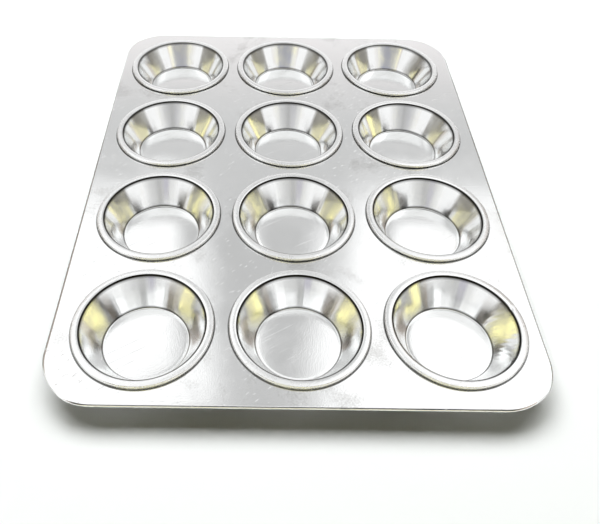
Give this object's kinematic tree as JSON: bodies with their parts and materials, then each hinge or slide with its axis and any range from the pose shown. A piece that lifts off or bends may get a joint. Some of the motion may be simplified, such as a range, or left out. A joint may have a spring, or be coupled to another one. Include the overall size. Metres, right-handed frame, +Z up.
{
  "type": "muffin pan",
  "caption": "Bare aluminium muffin pan: shallow conical cups with flat floors, each lock-seamed by a curled rim into a flat sheet with rounded corners and a hemmed edge.",
  "frame": {"origin": "middle of the pan, on the surface that its cups stand on", "axes": "+Z up, X across the columns of cups, +Y along the rows from the front to the back"},
  "size_m": [0.2754, 0.3632, 0.0195],
  "materials": {
    "tray_aluminium": "bare rolled aluminium sheet, satin with fine scuffs",
    "cup_aluminium": "bare drawn aluminium, bright, with fine draw lines"
  },
  "bodies": {
    "root": {"tray_sheet": "tray_aluminium", "cup_front_left": "cup_aluminium", "cup_front_centre": "cup_aluminium", "cup_front_right": "cup_aluminium", "cup_middle_front_left": "cup_aluminium", "cup_middle_front_centre": "cup_aluminium", "cup_middle_front_right": "cup_aluminium", "cup_middle_back_left": "cup_aluminium", "cup_middle_back_centre": "cup_aluminium", "cup_middle_back_right": "cup_aluminium", "cup_back_left": "cup_aluminium", "cup_back_centre": "cup_aluminium", "cup_back_right": "cup_aluminium"}
  },
  "joints": []
}
